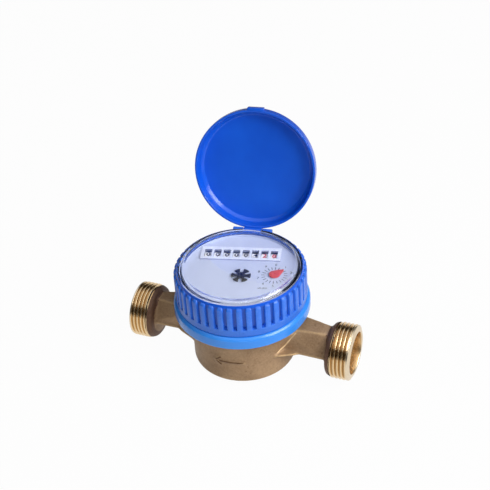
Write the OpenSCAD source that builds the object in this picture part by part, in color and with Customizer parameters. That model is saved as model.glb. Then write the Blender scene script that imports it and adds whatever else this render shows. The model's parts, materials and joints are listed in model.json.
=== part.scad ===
// Single-jet dry-dial cold water meter with an open lid, 110 mm long, G 3/4 ends.
// Units are mm. X runs along the pipe, the inlet is at +X, Z is up and z = 0 is the foot.

/* [Pipe ends] */
// Length over the two end faces
length = 110; // [106:1:116]
// Height of the pipe axis above the foot
axis_z = 13.7; // [13.5:0.1:14.3]
// Radius of the G 3/4 thread over its crests
thread_r = 13.22; // [13:0.02:13.4]
// Length of the enlarged end, with its shoulder
end_l = 10.4; // [10:0.2:11]
// Radius of the mouth in each end face
mouth_r = 10; // [9.4:0.1:10.4]
// Radius of the bore behind the mouth
bore_r = 7.5; // [7:0.1:7.8]
// Radius of the bore through the neck
neck_bore_r = 4.6; // [4.2:0.1:4.8]
// Radius of the slanted jet port
jet_r = 3; // [2.6:0.1:3.2]

/* [Brass cup] */
// Outer radius of the cup
cup_r = 24.2; // [23.8:0.1:25]
// Radius of the foot ring
foot_r = 20.2; // [19:0.2:21]
// Height of the sloping edge above the foot
foot_h = 3.2; // [2.8:0.1:3.4]
// Radius of the measuring chamber
chamber_r = 20.6; // [20.2:0.1:21]
// Floor of the measuring chamber
floor_z = 6.4; // [5.8:0.1:6.8]
// Shelf that carries the pressure plate
shelf_z = 23.6; // [23.2:0.1:24]
// Underside of the base ring
ring_z = 29.3; // [29:0.1:29.6]

/* [Blue rings] */
// How far the light blue base ring stands out past the ribs
base_lip = 1.3; // [0.8:0.1:2]
// Height of the base ring
base_h = 5.9; // [5.7:0.1:6.2]
// Wall of the ribbed ring, from the lens to the tips of the ribs
rib_wall = 2.7; // [2.6:0.1:3.2]
// Turn of the grooves against the pipe
rib_turn = 7.84; // [0:0.02:8]
// Number of ribs
rib_n = 44; // [36:1:52]
// Depth of the grooves between the ribs
rib_depth = 1.1; // [0.7:0.1:1.3]
// Plain band below the ribs
band_h = 3.6; // [3:0.2:5]
// Height of the ribbed ring
rib_h = 16.5; // [16.3:0.1:16.8]
// Height of the slope at the top of the ribs
rib_slope = 1.8; // [1.6:0.1:2]

/* [Register] */
// Turn of the lid and ribbed ring against the pipe
lid_turn = 9.2; // [-20:0.1:20]
// Turn of the dial against the pipe
dial_turn = 14; // [-20:1:20]
// Radius of the lens
lens_r = 27.7; // [27.5:0.1:27.8]
// Thickness of the lens
lens_t = 4.3; // [4.1:0.1:4.4]
// Height of the dial face
dial_z = 48; // [47.9:0.1:48.1]
// Pitch of the digit wheels
digit_pitch = 4.43; // [4.4:0.01:4.45]
// Radius of the digit wheels
digit_r = 3.7; // [3.5:0.1:3.8]
// Radius of the black star wheel
star_r = 4.5; // [3.8:0.1:5]
// Length of the red pointer from its axis
pointer_l = 5.2; // [4:0.1:5.6]

/* [Lid] */
// How far the lid stands out past the lens
lid_lap = 1; // [1:0.1:1.3]
// Width of the lid's rim
lid_rim = 1.05; // [0.95:0.05:1.1]
// Depth of the dish inside the lid
lid_depth = 5.6; // [5:0.1:6.5]
// Thickness of the lid's top
lid_top = 1.4; // [1.2:0.1:1.6]
// How far the lid stands open
lid_open = 107.5; // [0:0.5:112]

/* [Fits] */
// Gap between pieces that move past each other
gap = 0.3; // [0.2:0.05:0.4]
// Radial play of a shaft in its bearing
play = 0.05; // [0.03:0.01:0.08]

/* [Hidden] */
$fn = 64;
eps = 0.01;
half_l = length / 2;
rib_r = lens_r + rib_wall;
base_r = rib_r + base_lip;
lid_r = lens_r + lid_lap;
shoulder_x = half_l - end_l;
thread_x = shoulder_x + 1.2;
end_chamfer = 1.2;
mouth_l = 9;
bore_l = 1.7;
neck_z = axis_z + 3.4;
rim_z = ring_z + 2;
seat_r = cup_r - 1.8;
plate_t = 4;
plate_z = shelf_z + plate_t;
flange_r = cup_r + 2.6;
collar_r = cup_r + 1;
base_top = ring_z + base_h;
rib_z = base_top + gap;
rib_top = rib_z + rib_h;
can_r = lens_r + 0.1;
can_in = can_r - 1.4;
can_floor = base_top - 1.6;
can_bottom = base_top - 3.2;
neck_r = can_r - 0.9;
well_r = 9;
well_z = plate_z + 0.6;
lens_z = rib_top + 1.7 - lens_t;
dial_t = 0.8;
ledge_z = dial_z - dial_t;
can_top = lens_z - 0.9;
frame_top = dial_z + 0.7;
hinge_y = lens_r + 1.5;
hinge_z = rib_top - 1.4;
lid_lift = rib_top + 2 * play - hinge_z;
knuckle_r = 1.3;
pin_r = 0.7;
groove_w = 0.9 * PI * rib_r / rib_n;
pocket_d = 0.6;
pocket_h = 1.3;
mod = 0.5;
arbor_r = 0.6;
bridge_z = 44.4;
bridge_t = 1;
gear_w = 1.3;
level = [34.3, 36.3, 38.6, 40.9];
// Tooth counts of the train
pinion_n = 6;
star_n = 10;
wheel_n = 30;
transfer_n = 20;
carry_n = 8;
count_n = 20;
worm_n = 10;
// Arbor places on the dial, worked out from the tooth counts
star_d = mod * (pinion_n + star_n) / 2;
train_d = mod * (pinion_n + wheel_n) / 2;
transfer_d = mod * transfer_n;
star_dir = -77;
pointer_at = [16, -2.3];
star_at = star_d * [cos(star_dir), sin(star_dir)];
second_at = pointer_at + train_d * [cos(-115), sin(-115)];
first_at = apex(star_at, second_at, train_d);
digits = 8;
digit_x0 = -16.6;
digit_y = 12.6;
sheet_t = 0.35;
digit_z = frame_top - sheet_t - 2 * gap - digit_r;
digit_w = 3.3;
last_x = digit_x0 + (digits - 1) * digit_pitch;
worm_x = last_x + digit_w / 2 + 1.5;
worm_at = [worm_x, pointer_at[1] + sqrt(pow(transfer_d, 2) - pow(worm_x - pointer_at[0], 2))];
carry_mod = 0.32;
carry_d = carry_mod * (carry_n + count_n) / 2;
carry_w = 0.6;
cheek_t = 0.9;
cheek_x = [digit_x0 - digit_w / 2 - 0.6 - cheek_t, worm_x + 1.1];

// Point at distance d from both p and q, on the right of the way from p to q
function apex(p, q, d) =
    let (m = (p + q) / 2, h = norm(q - p) / 2, u = (q - p) / norm(q - p))
    m + sqrt(d * d - h * h) * [u[1], -u[0]];

// Direction in degrees from p to q
function bearing(p, q) = atan2(q[1] - p[1], q[0] - p[0]);

// Flat gear with straight-sided teeth, a tooth on +X
module gear_shape(n, m, bore) {
    pitch_r = m * n / 2;
    root_r = pitch_r - 0.95 * m;
    tip_r = pitch_r + 0.65 * m;
    step = 360 / n;
    foot = asin(0.62 * m / root_r);
    crest = asin(0.24 * m / tip_r);
    difference() {
        polygon([for (i = [0:n - 1]) each [
            root_r * [cos(i * step - foot), sin(i * step - foot)],
            tip_r * [cos(i * step - crest), sin(i * step - crest)],
            tip_r * [cos(i * step + crest), sin(i * step + crest)],
            root_r * [cos(i * step + foot), sin(i * step + foot)]]]);
        if (bore > 0) circle(bore);
    }
}

module gear(n, m, w, turn = 0, bore = 0) {
    rotate([0, 0, turn]) linear_extrude(w) gear_shape(n, m, bore);
}

// Solid of revolution about the pipe axis, from [x, r] points
module pipe_turned(points) {
    translate([0, 0, axis_z]) rotate([0, 90, 0]) rotate_extrude()
        polygon([for (p = points) [p[1], p[0]]]);
}

module ring(r_out, r_in, h) {
    difference() {
        cylinder(r = r_out, h = h);
        translate([0, 0, -eps]) cylinder(r = r_in, h = h + 2 * eps);
    }
}

module on_dial() {
    rotate([0, 0, dial_turn]) children();
}

module on_lid() {
    rotate([0, 0, lid_turn]) children();
}

module along_x(x, y, z) {
    translate([x, y, z]) rotate([0, 90, 0]) children();
}

// Cast neck from the cup to the union: sloping sides over the parting plane, a shallow keel under it
module neck() {
    hull() {
        translate([18, 0, axis_z]) rotate([90, 0, 90]) linear_extrude(0.1)
            polygon([[-7.8, -0.4], [-7.8, 0.8], [-6.9, 12.3], [6.9, 12.3], [7.8, 0.8], [7.8, -0.4], [3, -5],
                     [-3, -5]]);
        translate([shoulder_x - 1.8, 0, axis_z]) rotate([90, 0, 90]) linear_extrude(0.1)
            polygon([[-8.4, -0.4], [-8.4, 0.8], [-3.2, 10.6], [3.2, 10.6], [8.4, 0.8], [8.4, -0.4], [2.5, -4.4],
                     [-2.5, -4.4]]);
    }
    parting_web();
    for (s = [-1, 1]) corner_web(s);
}

// Flat web on the parting plane that widens into a gusset at the cup
module parting_web() {
    edge = [[shoulder_x - 1, 8.9], [30.4, 8.8], [28.2, 10.4], [19.9, 14.4], [10, 18.6]];
    translate([0, 0, axis_z - 0.4]) linear_extrude(1.2)
        polygon(concat(edge, [for (i = [4:-1:0]) [edge[i][0], -edge[i][1]]]));
}

// Filled corner between a neck's side and the cup, wider towards the ring
module corner_web(s) {
    places = [[23.2, 7.2, 14.4], [28.4, 6.2, 24.4], [18.6, 15.3, 24.4], [17, 6, 14.4], [17, 6, 24.4]];
    hull() for (p = places) translate([p[0], s * p[1], p[2]]) cube(0.2, center = true);
}

// Threaded union end with its cast shoulder
module union_end() {
    pipe_turned([[shoulder_x - 2.4, 0], [shoulder_x - 2.4, 6.5], [shoulder_x - 1.5, 11.2],
                 [shoulder_x - 0.9, thread_r - 1], [shoulder_x, thread_r - 0.6],
                 [thread_x - 0.1, thread_r - 0.7], [thread_x - 0.1, thread_r],
                 [half_l - end_chamfer, thread_r], [half_l, thread_r - end_chamfer], [half_l, 0]]);
}

// Waterway of one end: mouth, bore, neck and slanted jet port
module waterway() {
    along_x(half_l - mouth_l, 0, axis_z) cylinder(r = mouth_r, h = mouth_l + eps);
    along_x(half_l - mouth_l - bore_l, 0, axis_z) cylinder(r = bore_r, h = bore_l + eps);
    along_x(27, 0, neck_z) cylinder(r = neck_bore_r, h = half_l - mouth_l - 27);
    translate([33, 2.8, neck_z]) rotate([0, 0, 213]) rotate([0, 90, 0]) cylinder(r = jet_r, h = 23);
}

module flow_arrow() {
    intersection() {
        translate([0, 0, axis_z + 0.6]) rotate([90, 0, 0]) linear_extrude(cup_r + 2)
            polygon([[9.6, -0.4], [9.6, 0.4], [-4.2, 0.4], [-2.4, 2.2], [-3.2, 2.7], [-6, 0],
                     [-3.2, -2.7], [-2.4, -2.2], [-4.2, -0.4]]);
        ring_at(cup_r + 0.45, cup_r - 0.5, axis_z - 4, 10);
    }
}

module ring_at(r_out, r_in, z, h) {
    translate([0, 0, z]) ring(r_out, r_in, h);
}

module meter_body() {
    color("#a5825f") difference() {
        union() {
            rotate_extrude() polygon([[0, 0], [foot_r, 0], [cup_r - 0.5, foot_h - 0.5], [cup_r, foot_h],
                [cup_r, ring_z - 5], [flange_r, ring_z - 2.4], [flange_r, ring_z], [collar_r, ring_z],
                [collar_r, rim_z], [0, rim_z]]);
            neck();
            mirror([1, 0, 0]) neck();
            union_end();
            mirror([1, 0, 0]) union_end();
            flow_arrow();
        }
        ring_at(foot_r - 4.5, 5, -eps, 2);
        translate([0, 0, floor_z]) cylinder(r = chamber_r, h = rim_z);
        translate([0, 0, shelf_z]) cylinder(r = seat_r, h = rim_z);
        translate([0, 0, floor_z - 2]) cylinder(r = 1.2, h = 3);
        waterway();
        mirror([1, 0, 0]) waterway();
    }
}

module inlet_strainer() {
    step_x = half_l - mouth_l;
    color("#e8e4da") difference() {
        union() {
            along_x(step_x, 0, axis_z) cylinder(r = mouth_r - 0.2, h = 1.2);
            along_x(step_x - 1.3, 0, axis_z) cylinder(r = bore_r - 0.2, h = 1.3 + eps);
        }
        along_x(step_x - 0.4, 0, axis_z) cylinder(r = bore_r - 1.2, h = 2);
        for (i = [0:5]) along_x(step_x - 2, 0, axis_z) rotate([0, 0, i * 60])
            translate([4.2, 0, 0]) cylinder(r = 1.3, h = 4);
        along_x(step_x - 2, 0, axis_z) cylinder(r = 1.6, h = 4);
    }
}

module impeller_pivot() {
    color("#c0c4c8") translate([0, 0, floor_z - 2]) union() {
        cylinder(r = 1.2, h = 2.6);
        cylinder(r = 0.8, h = 5.4);
    }
}

module pressure_plate() {
    color("#d8d4c8") difference() {
        translate([0, 0, shelf_z]) cylinder(r = seat_r - 0.1, h = plate_t);
        ring_at(seat_r + 1, seat_r - 1.5, shelf_z + 0.8, 1.5);
        translate([0, 0, shelf_z - eps]) cylinder(r = 7, h = plate_t - 1);
        translate([0, 0, plate_z - 2]) cylinder(r = 0.8, h = 1.6);
        ring_at(17, 12, plate_z - 1.5, 2);
    }
}

module upper_pivot() {
    color("#c0c4c8") translate([0, 0, plate_z - 3.4]) cylinder(r = 0.8, h = 3);
}

module chamber_seal() {
    color("#202224") translate([0, 0, shelf_z + 1.55]) rotate_extrude() translate([seat_r - 0.76, 0]) circle(0.74);
}

module lock_ring() {
    color("#b08d57") difference() {
        ring_at(seat_r - 0.05, seat_r - 4, plate_z, 2.6);
        for (i = [0:3]) rotate([0, 0, i * 90 + 45]) translate([seat_r - 3.4, 0, plate_z + 2.6])
            cube([2, 3, 2.4], center = true);
    }
}

module base_ring() {
    color("#4696f0") rotate_extrude() polygon([[collar_r + 0.05, ring_z], [base_r - 0.4, ring_z],
        [base_r, ring_z + 0.4], [base_r, base_top - 1.2], [base_r - 1.1, base_top], [can_r - 0.5, base_top],
        [can_r - 0.5, base_top - 1.3], [can_r + 1, base_top - 1.3], [can_r + 1, rim_z + 0.3],
        [collar_r + 0.05, rim_z + 0.3]]);
}

module impeller() {
    color("#e9e6dc") difference() {
        union() {
            translate([0, 0, floor_z + 1.8]) cylinder(r = 4.4, h = 13);
            translate([0, 0, floor_z + 1.8]) cylinder(r = 3, h = shelf_z - floor_z + 0.2);
            for (i = [0:7]) rotate([0, 0, i * 45]) translate([3.6, -0.6, floor_z + 2.4])
                cube([13.9, 1.2, 11.2]);
            translate([0, 0, floor_z + 7.4]) ring(11, 4, 1.2);
        }
        translate([0, 0, floor_z]) cylinder(r = 0.8 + play, h = 3.6);
        translate([0, 0, floor_z + 3.55]) cylinder(r = 1.5, h = 1.5);
        translate([0, 0, plate_z - 3.8]) cylinder(r = 0.8 + play, h = 3);
    }
}

module pivot_jewel() {
    color("#b33a5a") translate([0, 0, floor_z + 3.55]) cylinder(r = 1.5, h = 1.5);
}

module impeller_magnet() {
    color("#3a3c40") ring_at(5.8, 3, floor_z + 14.8 + 1.2, 2.8);
}

module register_can() {
    color("#dfe3e8") difference() {
        union() {
            translate([0, 0, rib_z]) cylinder(r = can_r, h = can_top - rib_z);
            translate([0, 0, can_bottom]) cylinder(r = neck_r, h = 4);
            translate([0, 0, can_bottom]) cylinder(r = can_r + 0.7, h = 1.5);
            translate([0, 0, well_z]) cylinder(r = well_r, h = can_floor - well_z);
        }
        translate([0, 0, can_floor]) cylinder(r = neck_r - 1, h = 4);
        translate([0, 0, rib_z + 1]) cylinder(r = can_in, h = 20);
        translate([0, 0, ledge_z]) cylinder(r = can_in + 0.5, h = 20);
        translate([0, 0, well_z + 0.9]) cylinder(r = well_r - 1, h = 10);
        translate([0, 0, well_z + 0.4]) cylinder(r = arbor_r + play, h = 2);
        on_dial() for (p = [star_at, first_at, second_at, pointer_at, worm_at])
            translate([p[0], p[1], can_floor - 0.6]) cylinder(r = arbor_r + play, h = 2);
    }
    color("#dfe3e8") on_dial() posts() difference() {
        translate([0, 0, can_floor - eps]) cylinder(r = 1.5, h = bridge_z - can_floor + eps);
        translate([0, 0, bridge_z - 4]) cylinder(r = 0.6, h = 5);
    }
}

module posts() {
    for (p = [[-20, -7], [-5.5, -20.5], [21.6, -10.6]]) translate([p[0], p[1], 0]) children();
}

module shield_ring() {
    color("#8f9498") ring_at(13.2, well_r, can_bottom - 2.4, 2.4);
}

module ribbed_ring() {
    inner_r = can_r + 0.1;
    color("#1a52c8") difference() {
        union() {
            difference() {
                rotate_extrude() polygon([[inner_r, rib_z], [rib_r - 0.3, rib_z], [rib_r, rib_z + 0.3],
                    [rib_r, rib_top - rib_slope], [rib_r - 1.9, rib_top], [inner_r, rib_top]]);
                for (i = [0:rib_n - 1]) rotate([0, 0, rib_turn + 90 + i * 360 / rib_n])
                    rib_groove();
            }
            on_lid() for (s = [-1, 1]) hinge_lug(s);
        }
        on_lid() along_x(-4.6, hinge_y, hinge_z) cylinder(r = knuckle_r + gap, h = 9.2);
        on_lid() translate([-4.6, hinge_y - knuckle_r - gap, hinge_z - gap]) cube([9.2, 5, 5]);
        on_lid() along_x(-12, hinge_y, hinge_z) cylinder(r = pin_r, h = 24);
    }
}

// Groove between two ribs, with a deeper pocket at its foot
module rib_groove() {
    translate([rib_r - rib_depth, -groove_w / 2, rib_z + band_h]) cube([2, groove_w, rib_h]);
    translate([rib_r - rib_depth - pocket_d, -groove_w / 2, rib_z + band_h]) cube([2, groove_w, pocket_h]);
}

module hinge_lug(s) {
    x0 = s > 0 ? 4.6 : -9.4;
    along_x(x0, hinge_y, hinge_z) cylinder(r = knuckle_r, h = 4.8);
    translate([x0, can_r + 0.25, hinge_z - 4.7])
        cube([4.8, hinge_y + knuckle_r - can_r - 0.25, 4.7 - gap]);
}

module lens_gasket() {
    color("#dfe3e8") ring_at(lens_r, can_in + 0.5, can_top, lens_z - can_top);
}

// Lens: a shallow cap, hollow over the dial
module lens() {
    edge = 2.1;
    wall = 1.6;
    color("#dcecf5", 0.35) translate([0, 0, lens_z]) rotate_extrude()
        polygon([[0, lens_t - wall], [lens_r - wall - 1.6, lens_t - wall], [lens_r - wall, lens_t - wall - 1.2],
                 [lens_r - wall, 0], [lens_r, 0], [lens_r, lens_t - 1.9], [lens_r - edge, lens_t - 0.1],
                 [lens_r - edge - 0.5, lens_t], [0, lens_t]]);
}

module dial_plate() {
    frame = [37.6, 9.4];
    frame_x = (digit_x0 + last_x) / 2;
    color("#f2f4f8") on_dial() difference() {
        union() {
            translate([0, 0, ledge_z]) cylinder(r = can_in + 0.4, h = dial_t);
            translate([frame_x - frame[0] / 2, digit_y - frame[1] / 2, dial_z - eps])
                cube([frame[0], frame[1], frame_top - dial_z + eps]);
        }
        translate([frame_x - frame[0] / 2 + 0.8, digit_y - 3.2, ledge_z - 1])
            cube([frame[0] - 1.6, 6.4, frame_top - sheet_t - ledge_z + 1]);
        for (i = [0:digits - 1]) translate([digit_x0 + i * digit_pitch - 1.65, digit_y - 2.5, ledge_z])
            cube([3.3, 5, 3]);
        for (p = [star_at, pointer_at]) translate([p[0], p[1], ledge_z - 1])
            cylinder(r = arbor_r + play, h = 4);
        translate([worm_at[0], worm_at[1], ledge_z - 1]) cylinder(r = arbor_r + play, h = 1.5);
    }
}

module bridge_plate() {
    color("#c9cdd2") on_dial() difference() {
        translate([0, 0, bridge_z]) intersection() {
            cylinder(r = can_in - 0.4, h = bridge_t);
            translate([-30, -30, 0]) cube([60, 36, 3]);
        }
        for (p = [[0, 0], star_at, first_at, second_at, pointer_at]) translate([p[0], p[1], bridge_z - 1])
            cylinder(r = arbor_r + play, h = 3);
        posts() translate([0, 0, bridge_z - 1]) cylinder(r = 0.7, h = 3);
    }
}

module bridge_screws() {
    color("#b9bcc0") on_dial() posts() union() {
        translate([0, 0, bridge_z - 3.5]) cylinder(r = 0.6, h = 3.5 + bridge_t + eps);
        translate([0, 0, bridge_z + bridge_t]) cylinder(r = 1.3, h = 0.9);
    }
}

module counter_frame() {
    carry_z = digit_z - carry_d;
    color("#c9cdd2") on_dial() difference() {
        union() {
            for (x = cheek_x) translate([x, digit_y - 2.6, carry_z - 1.3])
                cube([cheek_t, 5.2, ledge_z - carry_z + 1.3]);
            translate([cheek_x[0], digit_y + 2.3, carry_z - 1.3])
                cube([cheek_x[1] - cheek_x[0] + cheek_t, 1.6, 1.4]);
        }
        along_x(cheek_x[0] - 1, digit_y, digit_z) cylinder(r = 0.8, h = 60);
        along_x(cheek_x[0] - 1, digit_y, carry_z) cylinder(r = 0.5, h = 60);
    }
}

module roller_shaft() {
    color("#c0c4c8") on_dial() along_x(cheek_x[0], digit_y, digit_z)
        cylinder(r = 0.8, h = cheek_x[1] - cheek_x[0] + cheek_t);
}

module pinion_shaft() {
    color("#c0c4c8") on_dial() along_x(cheek_x[0], digit_y, digit_z - carry_d)
        cylinder(r = 0.5, h = cheek_x[1] - cheek_x[0] + cheek_t);
}

// Digit wheel k: drum, locking disc on the left, carry gear or worm gear on the right
module digit_wheel(k) {
    tint = k > 6 ? "#d8483f" : "#26282c";
    color(tint) on_dial() along_x(digit_x0 + (k - 1) * digit_pitch, digit_y, digit_z) difference() {
        union() {
            translate([0, 0, -digit_w / 2]) cylinder(r = digit_r, h = digit_w);
            translate([0, 0, -digit_w / 2 - 0.3]) cylinder(r = 2.6, h = 1);
            if (k < digits) translate([0, 0, digit_w / 2 - eps]) gear(count_n, carry_mod, carry_w, 0, 0);
            if (k == digits) cylinder(r = 2, h = worm_x - last_x);
            if (k == digits) translate([0, 0, worm_x - last_x - 0.8]) gear(worm_n, 0.5, 1.6, 0, 0);
        }
        translate([0, 0, -5]) cylinder(r = 0.8 + play, h = 10);
    }
}

module digit_wheel_1() { digit_wheel(1); }
module digit_wheel_2() { digit_wheel(2); }
module digit_wheel_3() { digit_wheel(3); }
module digit_wheel_4() { digit_wheel(4); }
module digit_wheel_5() { digit_wheel(5); }
module digit_wheel_6() { digit_wheel(6); }
module digit_wheel_7() { digit_wheel(7); }
module digit_wheel_8() { digit_wheel(8); }

// Carry pinion between wheel k and the next, in mesh with the carry gear of wheel k
module carry_pinion(k) {
    color("#e6dfc8") on_dial()
        along_x(digit_x0 + (k - 1) * digit_pitch + digit_w / 2, digit_y, digit_z - carry_d)
            gear(carry_n, carry_mod, carry_w, 180 / carry_n, 0.5 + play);
}

module carry_pinion_1() { carry_pinion(1); }
module carry_pinion_2() { carry_pinion(2); }
module carry_pinion_3() { carry_pinion(3); }
module carry_pinion_4() { carry_pinion(4); }
module carry_pinion_5() { carry_pinion(5); }
module carry_pinion_6() { carry_pinion(6); }
module carry_pinion_7() { carry_pinion(7); }

module arbor(p, top) {
    translate([p[0], p[1], can_floor - 0.5]) cylinder(r = arbor_r, h = top - can_floor + 0.5);
}

// Wheel that meshes with a pinion tooth coming from the bearing given
module driven_wheel(p, n, z, from) {
    translate([p[0], p[1], z]) gear(n, mod, gear_w, from + 180 / n);
}

module driving_pinion(p, n, z, to) {
    translate([p[0], p[1], z - 0.15]) gear(n, mod, gear_w + 0.3, to);
}

module drive_spindle() {
    color("#b08d57") on_dial() {
        translate([0, 0, well_z + 0.5]) cylinder(r = arbor_r, h = bridge_z + bridge_t - well_z - 0.5);
        driving_pinion([0, 0], pinion_n, level[0], bearing([0, 0], star_at));
    }
}

module drive_magnet() {
    color("#3a3c40") ring_at(6, arbor_r, well_z + 1.4, 3);
}

module star_arbor() {
    color("#e6dfc8") on_dial() {
        arbor(star_at, frame_top);
        driven_wheel(star_at, star_n, level[0], bearing(star_at, [0, 0]));
        driving_pinion(star_at, pinion_n, level[1], bearing(star_at, first_at));
    }
}

// Leak indicator with six square lobes
module star_wheel() {
    color("#1c1c1e") on_dial() translate([star_at[0], star_at[1], dial_z + gap]) linear_extrude(0.7)
        difference() {
            circle(star_r);
            for (i = [0:5]) rotate([0, 0, 60 * i + 30]) translate([star_r * 0.62, 0]) notch(star_r * 0.19);
            circle(arbor_r);
        }
}

// Round-ended slot that opens along +X
module notch(r) {
    circle(r);
    translate([0, -r]) square([star_r, 2 * r]);
}

module first_wheel() {
    color("#e6dfc8") on_dial() {
        arbor(first_at, bridge_z + bridge_t);
        driven_wheel(first_at, wheel_n, level[1], bearing(first_at, star_at));
        driving_pinion(first_at, pinion_n, level[2], bearing(first_at, second_at));
    }
}

module second_wheel() {
    color("#e6dfc8") on_dial() {
        arbor(second_at, bridge_z + bridge_t);
        driven_wheel(second_at, wheel_n, level[2], bearing(second_at, first_at));
        driving_pinion(second_at, pinion_n, level[3], bearing(second_at, pointer_at));
    }
}

module pointer_arbor() {
    color("#e6dfc8") on_dial() {
        arbor(pointer_at, frame_top);
        driven_wheel(pointer_at, wheel_n, level[3], bearing(pointer_at, second_at));
        driving_pinion(pointer_at, transfer_n, level[0] - 0.2, bearing(pointer_at, worm_at));
    }
}

// Red teardrop pointer, set to the reading in the picture
module pointer() {
    tip_a = asin(2.2 / pointer_l);
    color("#d7504b") on_dial() translate([pointer_at[0], pointer_at[1], dial_z + gap])
        rotate([0, 0, 42]) linear_extrude(0.6) difference() {
            union() {
                circle(2.5);
                polygon([[pointer_l, 0.25], [2.5 * sin(tip_a), 2.5 * cos(tip_a)],
                         [2.5 * sin(tip_a), -2.5 * cos(tip_a)], [pointer_l, -0.25]]);
            }
            circle(arbor_r);
        }
}

module transfer_worm() {
    color("#e6dfc8") on_dial() {
        arbor(worm_at, ledge_z + 0.4);
        driven_wheel(worm_at, transfer_n, level[0] - 0.2, bearing(worm_at, pointer_at));
        translate([worm_at[0], worm_at[1], digit_z - 3]) cylinder(r = 1, h = 6);
    }
}

// Lid in its closed place, hinge axis at height 0 and the rim just over the ring
module closed_lid() {
    top = lid_depth + lid_top;
    in_r = lid_r - lid_rim;
    difference() {
        union() {
            translate([0, 0, lid_lift]) rotate_extrude()
                polygon([[0, 0], [lid_r, 0], [lid_r, top - 2], [lid_r - 0.6, top - 0.6], [lid_r - 2, top], [0, top]]);
            translate([-3.9, -lid_r - 1, lid_lift]) cube([7.8, 4, 3.2]);
            along_x(-4.3, hinge_y, 0) cylinder(r = knuckle_r, h = 8.6);
            translate([-4.3, hinge_y - knuckle_r, 0]) cube([8.6, knuckle_r, lid_lift + 1.6]);
        }
        translate([0, 0, lid_lift]) rotate_extrude()
            polygon([[0, -1], [in_r + 0.06, -1], [in_r, 0], [in_r - 0.8, lid_depth - 1.6],
                     [in_r - 2.2, lid_depth], [0, lid_depth]]);
        along_x(-10, hinge_y, 0) cylinder(r = pin_r + play, h = 20);
    }
}

module lid() {
    color("#1a52c8") on_lid() translate([0, hinge_y, hinge_z]) rotate([-lid_open, 0, 0])
        translate([0, -hinge_y, 0]) closed_lid();
}

module hinge_pin() {
    color("#c0c4c8") on_lid() along_x(-9.4, hinge_y, hinge_z) cylinder(r = pin_r, h = 18.8);
}

meter_body();
inlet_strainer();
impeller_pivot();
pressure_plate();
upper_pivot();
chamber_seal();
lock_ring();
base_ring();
impeller();
pivot_jewel();
impeller_magnet();
register_can();
shield_ring();
ribbed_ring();
lens_gasket();
lens();
dial_plate();
bridge_plate();
bridge_screws();
counter_frame();
roller_shaft();
pinion_shaft();
digit_wheel_1();
digit_wheel_2();
digit_wheel_3();
digit_wheel_4();
digit_wheel_5();
digit_wheel_6();
digit_wheel_7();
digit_wheel_8();
carry_pinion_1();
carry_pinion_2();
carry_pinion_3();
carry_pinion_4();
carry_pinion_5();
carry_pinion_6();
carry_pinion_7();
drive_spindle();
drive_magnet();
star_arbor();
star_wheel();
first_wheel();
second_wheel();
pointer_arbor();
pointer();
transfer_worm();
lid();
hinge_pin();
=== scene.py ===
import json
import math

import bmesh
import bpy
from mathutils import Matrix, Vector


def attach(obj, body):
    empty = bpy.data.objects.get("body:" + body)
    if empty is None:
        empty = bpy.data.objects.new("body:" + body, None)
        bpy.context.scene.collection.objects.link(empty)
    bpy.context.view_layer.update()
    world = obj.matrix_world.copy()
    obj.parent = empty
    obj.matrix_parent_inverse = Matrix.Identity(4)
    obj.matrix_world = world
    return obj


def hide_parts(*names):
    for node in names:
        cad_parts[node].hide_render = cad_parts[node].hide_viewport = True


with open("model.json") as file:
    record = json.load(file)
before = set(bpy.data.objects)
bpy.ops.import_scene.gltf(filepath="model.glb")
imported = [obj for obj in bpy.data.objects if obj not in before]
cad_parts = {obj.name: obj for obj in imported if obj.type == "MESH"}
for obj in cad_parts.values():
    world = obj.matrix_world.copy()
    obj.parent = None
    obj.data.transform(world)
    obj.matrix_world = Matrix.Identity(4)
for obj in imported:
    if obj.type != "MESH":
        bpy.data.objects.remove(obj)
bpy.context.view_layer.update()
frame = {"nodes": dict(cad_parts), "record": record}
nodes = frame["nodes"]
scene = bpy.context.scene
scene.view_settings.view_transform = "Standard"
mm = 0.001
dialTurn = Matrix.Rotation(math.radians(14), 4, "Z")   # dial against the pipe
lidTurn = Matrix.Rotation(math.radians(9.2), 4, "Z")   # lid and hinge against the pipe
print("frame loaded:", len(nodes), "nodes")


# small helpers for meshes

def at(x, y, z):
    return Matrix.Translation((x * mm, y * mm, z * mm))


def alongX(x, y, z):
    return at(x, y, z) @ Matrix.Rotation(math.radians(90), 4, "Y")


def softCorners(points, radius, steps=3, closed=True):
    # rounds every corner of a profile that is off the turning axis
    out = []
    count = len(points)
    for i, p in enumerate(points):
        corner = Vector(p)
        if (not closed and i in (0, count - 1)) or corner.x < 1e-6:
            out.append(tuple(corner))
            continue
        before = Vector(points[i - 1]) - corner
        after = Vector(points[(i + 1) % count]) - corner
        reach = min(radius, 0.45 * before.length, 0.45 * after.length)
        start = corner + before.normalized() * reach
        end = corner + after.normalized() * reach
        for k in range(steps + 1):
            t = k / steps
            out.append(tuple(start * (1 - t) ** 2 + corner * 2 * t * (1 - t) + end * t ** 2))
    return out


def lathe(profile, place=Matrix(), steps=144, closed=True):
    bm = bmesh.new()
    rings = []
    for r, z in profile:
        if r < 1e-6:
            rings.append([bm.verts.new((0, 0, z * mm))])
            continue
        angles = [2 * math.pi * i / steps for i in range(steps)]
        rings.append([bm.verts.new((r * mm * math.cos(a), r * mm * math.sin(a), z * mm)) for a in angles])
    for low, high in zip(rings, rings[1:] + rings[:1] if closed else rings[1:]):
        for i in range(steps):
            j = (i + 1) % steps
            if len(low) == 1 and len(high) == 1:
                continue
            if len(low) == 1:
                bm.faces.new((low[0], high[i], high[j]))
            elif len(high) == 1:
                bm.faces.new((low[i], low[j], high[0]))
            else:
                bm.faces.new((low[i], low[j], high[j], high[i]))
    bmesh.ops.recalc_face_normals(bm, faces=bm.faces)
    bm.transform(place)
    return bm


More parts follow.
